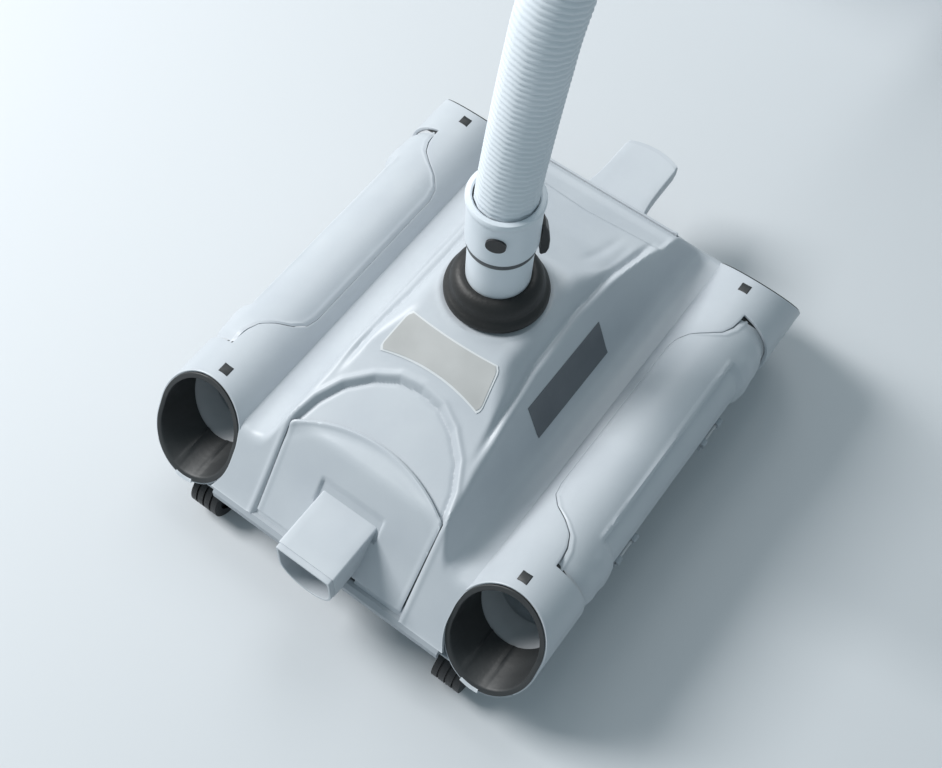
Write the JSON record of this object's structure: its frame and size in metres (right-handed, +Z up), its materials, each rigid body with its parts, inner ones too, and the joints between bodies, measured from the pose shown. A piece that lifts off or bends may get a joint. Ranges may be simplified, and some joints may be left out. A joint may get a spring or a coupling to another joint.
{
  "type": "pool cleaner",
  "caption": "Wheeled pool cleaner with open side tubes, hinged side covers, tilting spout flaps, a top swivel and a long ribbed feed hose.",
  "frame": {"origin": "on the floor under the middle of the cleaner and its swivel axis, hose left out", "axes": "+X to the cleaner's right seen from above with the front at -Y, +Y to the rear, +Z up"},
  "size_m": [0.4929, 1.3687, 0.6084],
  "materials": {
    "shell_grey": "moulded light cool-grey plastic, satin",
    "panel_grey": "moulded light grey plastic, satin",
    "chassis_grey": "moulded grey plastic, matt",
    "liner_charcoal": "moulded charcoal plastic, matt",
    "screen_grey": "slotted grey plastic",
    "boot_rubber": "soft black rubber",
    "swivel_white": "white plastic, semi-gloss",
    "hose_white": "white ribbed blow-moulded hose",
    "button_dark": "dark moulded plastic",
    "coupling_grey": "dark grey moulded plastic",
    "steel": "stainless steel",
    "bronze": "sintered bronze",
    "gear_ivory": "acetal, matt",
    "valve_orange": "moulded orange plastic",
    "duct_grey": "moulded mid-grey plastic",
    "impeller_blue": "moulded blue plastic",
    "wheel_rubber": "black rubber on a black hub",
    "badge_grey": "blank warm grey foil plate",
    "label_dark": "blank dark grey printed label"
  },
  "bodies": {
    "base": {"upper_shell": "shell_grey", "chassis": "chassis_grey", "liner_front_left": "liner_charcoal", "liner_front_right": "liner_charcoal", "liner_rear_left": "liner_charcoal", "liner_rear_right": "liner_charcoal", "debris_screen_left": "screen_grey", "debris_screen_right": "screen_grey", "side_cover_pins": "steel", "front_flap_pins": "steel", "rear_flap_pins": "steel", "swivel_boot": "boot_rubber", "swivel_bearing": "swivel_white", "inlet_manifold": "duct_grey", "valve_housing": "duct_grey", "turbine_housing": "duct_grey", "turbine_cover": "duct_grey", "turbine_bushes": "bronze", "gear_plate": "duct_grey", "jet_pipe_front": "duct_grey", "jet_pipe_rear": "duct_grey", "wheel_axles": "steel", "shell_screws": "steel", "badge_plate": "badge_grey", "info_label": "label_dark"},
    "swivel": {"swivel_pipe": "swivel_white", "swivel_seal": "boot_rubber", "hose_collar": "swivel_white", "hose_tube": "hose_white", "hose_coil": "hose_white", "hose_connector": "coupling_grey"},
    "latch_front": {"latch_button_front": "button_dark"},
    "latch_right": {"latch_button_right": "button_dark"},
    "latch_left": {"latch_button_left": "button_dark"},
    "front_flap": {"front_flap": "panel_grey"},
    "rear_flap": {"rear_flap": "panel_grey"},
    "cover_left": {"side_cover_left": "panel_grey"},
    "cover_right": {"side_cover_right": "panel_grey"},
    "turbine": {"turbine_wheel": "impeller_blue", "turbine_shaft": "steel", "drive_pinion": "gear_ivory"},
    "idler": {"idler_gear": "gear_ivory"},
    "valve": {"diverter_valve": "valve_orange", "valve_gear": "gear_ivory"},
    "wheel_front_left": {"wheel_front_left": "wheel_rubber"},
    "wheel_front_right": {"wheel_front_right": "wheel_rubber"},
    "wheel_rear_left": {"wheel_rear_left": "wheel_rubber"},
    "wheel_rear_right": {"wheel_rear_right": "wheel_rubber"}
  },
  "joints": [
    {"name": "swivel_turn", "type": "hinge", "parent": "base", "child": "swivel", "pos_m": [0, 0, 0.167], "axis": [0, 0, 1], "continuous": true},
    {"name": "latch_front_press", "type": "slide", "parent": "swivel", "child": "latch_front", "axis": [-0.3907, 0.9205, 0], "range_m": [0, 0.0018], "stiffness_N_per_m": 600},
    {"name": "latch_right_press", "type": "slide", "parent": "swivel", "child": "latch_right", "axis": [-0.6018, -0.7986, 0], "range_m": [0, 0.0018], "stiffness_N_per_m": 600},
    {"name": "latch_left_press", "type": "slide", "parent": "swivel", "child": "latch_left", "axis": [0.9925, -0.1219, 0], "range_m": [0, 0.0018], "stiffness_N_per_m": 600},
    {"name": "front_flap_tilt", "type": "hinge", "parent": "base", "child": "front_flap", "pos_m": [0, -0.147, 0.1235], "axis": [-1, 0, 0], "range_deg": [0, 5]},
    {"name": "rear_flap_tilt", "type": "hinge", "parent": "base", "child": "rear_flap", "pos_m": [0, 0.147, 0.1235], "axis": [1, 0, 0], "range_deg": [0, 5]},
    {"name": "right_cover_open", "type": "hinge", "parent": "base", "child": "cover_right", "pos_m": [0.1675, 0, 0.0575], "axis": [0, 1, 0], "range_deg": [0, 75]},
    {"name": "left_cover_open", "type": "hinge", "parent": "base", "child": "cover_left", "pos_m": [-0.1675, 0, 0.0575], "axis": [0, -1, 0], "range_deg": [0, 75]},
    {"name": "turbine_spin", "type": "hinge", "parent": "base", "child": "turbine", "pos_m": [0, 0.052, 0.112], "axis": [1, 0, 0], "continuous": true},
    {"name": "idler_spin", "type": "hinge", "parent": "base", "child": "idler", "pos_m": [0, 0.02, 0.1294], "axis": [1, 0, 0], "continuous": true},
    {"name": "valve_turn", "type": "hinge", "parent": "base", "child": "valve", "pos_m": [0, -0.012, 0.112], "axis": [1, 0, 0], "continuous": true},
    {"name": "front_left_wheel_spin", "type": "hinge", "parent": "base", "child": "wheel_front_left", "pos_m": [-0.115, -0.19, 0.02], "axis": [1, 0, 0], "continuous": true},
    {"name": "front_right_wheel_spin", "type": "hinge", "parent": "base", "child": "wheel_front_right", "pos_m": [0.115, -0.19, 0.02], "axis": [1, 0, 0], "continuous": true},
    {"name": "rear_left_wheel_spin", "type": "hinge", "parent": "base", "child": "wheel_rear_left", "pos_m": [-0.115, 0.19, 0.02], "axis": [1, 0, 0], "continuous": true},
    {"name": "rear_right_wheel_spin", "type": "hinge", "parent": "base", "child": "wheel_rear_right", "pos_m": [0.115, 0.19, 0.02], "axis": [1, 0, 0], "continuous": true}
  ],
  "couplings": [
    {"joint": "idler_spin", "follows": "turbine_spin", "ratio": -0.33333},
    {"joint": "valve_turn", "follows": "turbine_spin", "ratio": 0.11111}
  ]
}
